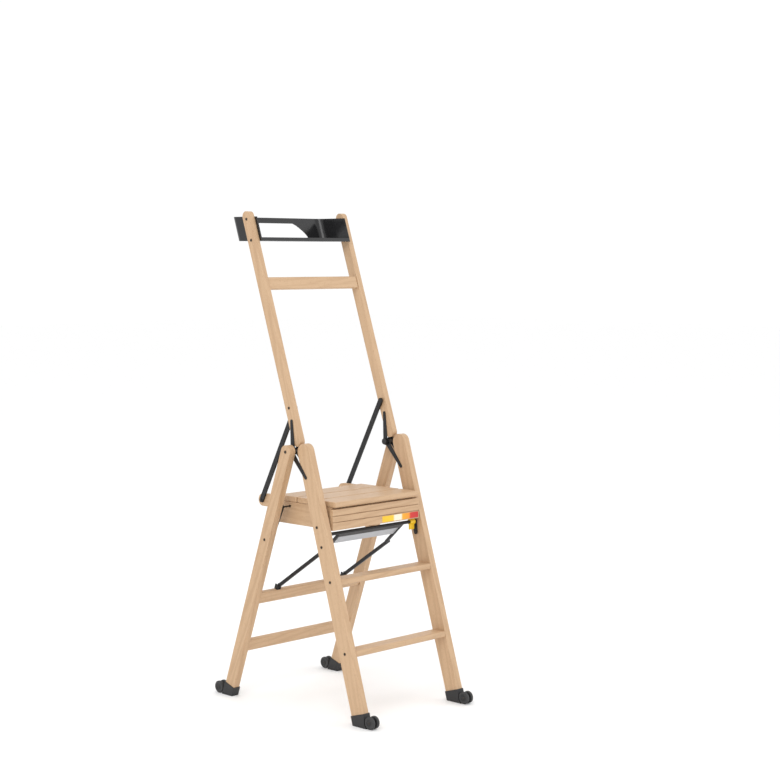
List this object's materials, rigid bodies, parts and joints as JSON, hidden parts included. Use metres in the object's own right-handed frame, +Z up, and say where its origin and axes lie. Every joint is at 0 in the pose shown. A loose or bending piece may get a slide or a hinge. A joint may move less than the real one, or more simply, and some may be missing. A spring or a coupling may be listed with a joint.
{
  "type": "step ladder",
  "caption": "Folding wooden step ladder with treads, a railed platform, a tool tray on the handrail, linked folding frames and small wheels at the feet",
  "frame": {"origin": "on the floor, midway between the front and rear feet and in the middle of the width", "axes": "+X across to the climber's right, +Y from the climbing side to the rear, +Z up"},
  "size_m": [0.5566, 0.786, 1.7342],
  "materials": {
    "beech": "clear satin varnish",
    "black_plastic": "moulded satin",
    "wheel_rubber": "moulded matt",
    "grey_plastic": "moulded matt",
    "yellow_plastic": "moulded satin",
    "label_print": "printed film",
    "dark_steel": "burnished",
    "black_steel": "black powder coat"
  },
  "bodies": {
    "front_frame": {"front_rail_left": "beech", "front_rail_right": "beech", "front_left_shoe": "black_plastic", "front_right_shoe": "black_plastic", "front_axles": "dark_steel", "tread_screws": "dark_steel", "grip_pivots": "dark_steel", "platform_pivots": "dark_steel", "lower_tread": "beech", "upper_tread": "beech", "lower_hinge_plates_left": "black_steel", "lower_hinge_plates_right": "black_steel", "main_hinge_bolts": "dark_steel", "hinge_spacers": "dark_steel", "hinge_knobs": "black_plastic"},
    "rear_frame": {"rear_rail_left": "beech", "rear_rail_right": "beech", "rear_left_shoe": "black_plastic", "rear_right_shoe": "black_plastic", "rear_axles": "dark_steel", "lower_crossbar": "beech", "upper_crossbar": "beech", "strut_brackets": "black_steel", "strut_pins": "dark_steel", "link_pivots": "dark_steel"},
    "platform": {"front_slat": "beech", "middle_slat": "beech", "rear_slat": "beech", "platform_side_left": "beech", "platform_side_right": "beech", "platform_link_studs": "dark_steel", "apron": "beech", "label": "label_print"},
    "handrail": {"handrail_left": "beech", "handrail_right": "beech", "tray_screws": "dark_steel", "rod_pivots": "dark_steel", "handrail_crossbar": "beech", "tool_tray": "black_plastic", "upper_hinge_plates_left": "black_steel", "upper_hinge_plates_right": "black_steel"},
    "rods": {"handrail_rod_left": "black_steel", "handrail_rod_right": "black_steel", "rod_end_bolts": "dark_steel"},
    "support_links": {"support_link_left": "black_steel", "support_link_right": "black_steel"},
    "struts": {"strut_left": "black_steel", "strut_right": "black_steel", "strut_end_bolts": "dark_steel"},
    "grip": {"grip_lever_left": "black_steel", "grip_lever_right": "black_steel", "grip_bar": "black_steel", "grip_frame": "black_plastic", "grip_plate": "grey_plastic"},
    "latch": {"safety_latch": "yellow_plastic"},
    "front_left_wheel": {"front_left_wheel": "wheel_rubber"},
    "front_right_wheel": {"front_right_wheel": "wheel_rubber"},
    "rear_left_wheel": {"rear_left_wheel": "wheel_rubber"},
    "rear_right_wheel": {"rear_right_wheel": "wheel_rubber"}
  },
  "joints": [
    {"name": "rear_fold", "type": "hinge", "parent": "front_frame", "child": "rear_frame", "pos_m": [0, 0.00857, 0.905], "axis": [1, 0, 0], "range_deg": [-36.1, 0]},
    {"name": "platform_tilt", "type": "hinge", "parent": "front_frame", "child": "platform", "pos_m": [0, -0.118, 0.6536], "axis": [1, 0, 0], "range_deg": [-52.05, 0]},
    {"name": "handrail_fold", "type": "hinge", "parent": "front_frame", "child": "handrail", "pos_m": [0, 0.00857, 0.905], "axis": [1, 0, 0], "range_deg": [-117.66, 0]},
    {"name": "rod_swing", "type": "hinge", "parent": "handrail", "child": "rods", "pos_m": [0, 0.02945, 1.05329], "axis": [1, 0, 0], "range_deg": [0, 89.95]},
    {"name": "link_swing", "type": "hinge", "parent": "rear_frame", "child": "support_links", "pos_m": [0, 0.11946, 0.58837], "axis": [1, 0, 0], "range_deg": [-98.12, 0]},
    {"name": "grip_swing", "type": "hinge", "parent": "front_frame", "child": "grip", "pos_m": [0, -0.141, 0.588], "axis": [1, 0, 0], "range_deg": [0, 82.02]},
    {"name": "strut_swing", "type": "hinge", "parent": "rear_frame", "child": "struts", "pos_m": [0, 0.17588, 0.40003], "axis": [1, 0, 0], "range_deg": [-33.22, 0]},
    {"name": "latch_swing", "type": "hinge", "parent": "grip", "child": "latch", "pos_m": [0, -0.137, 0.628], "axis": [1, 0, 0], "range_deg": [0, 35], "stiffness_Nm_per_rad": 0.02, "springref_deg": -2.86},
    {"name": "front_left_roll", "type": "hinge", "parent": "front_frame", "child": "front_left_wheel", "pos_m": [0, -0.3715, 0.0223], "axis": [1, 0, 0], "continuous": true},
    {"name": "front_right_roll", "type": "hinge", "parent": "front_frame", "child": "front_right_wheel", "pos_m": [0, -0.3715, 0.0223], "axis": [1, 0, 0], "continuous": true},
    {"name": "rear_left_roll", "type": "hinge", "parent": "rear_frame", "child": "rear_left_wheel", "pos_m": [0, 0.3715, 0.0223], "axis": [1, 0, 0], "continuous": true},
    {"name": "rear_right_roll", "type": "hinge", "parent": "rear_frame", "child": "rear_right_wheel", "pos_m": [0, 0.3715, 0.0223], "axis": [1, 0, 0], "continuous": true}
  ],
  "couplings": [
    {"joint": "platform_tilt", "follows": "rear_fold", "ratio": 1.4404},
    {"joint": "handrail_fold", "follows": "rear_fold", "ratio": 3.2579},
    {"joint": "rod_swing", "follows": "rear_fold", "ratio": -2.4904},
    {"joint": "link_swing", "follows": "rear_fold", "ratio": 2.7166},
    {"joint": "grip_swing", "follows": "rear_fold", "ratio": -2.2707},
    {"joint": "strut_swing", "follows": "rear_fold", "ratio": 0.919}
  ]
}
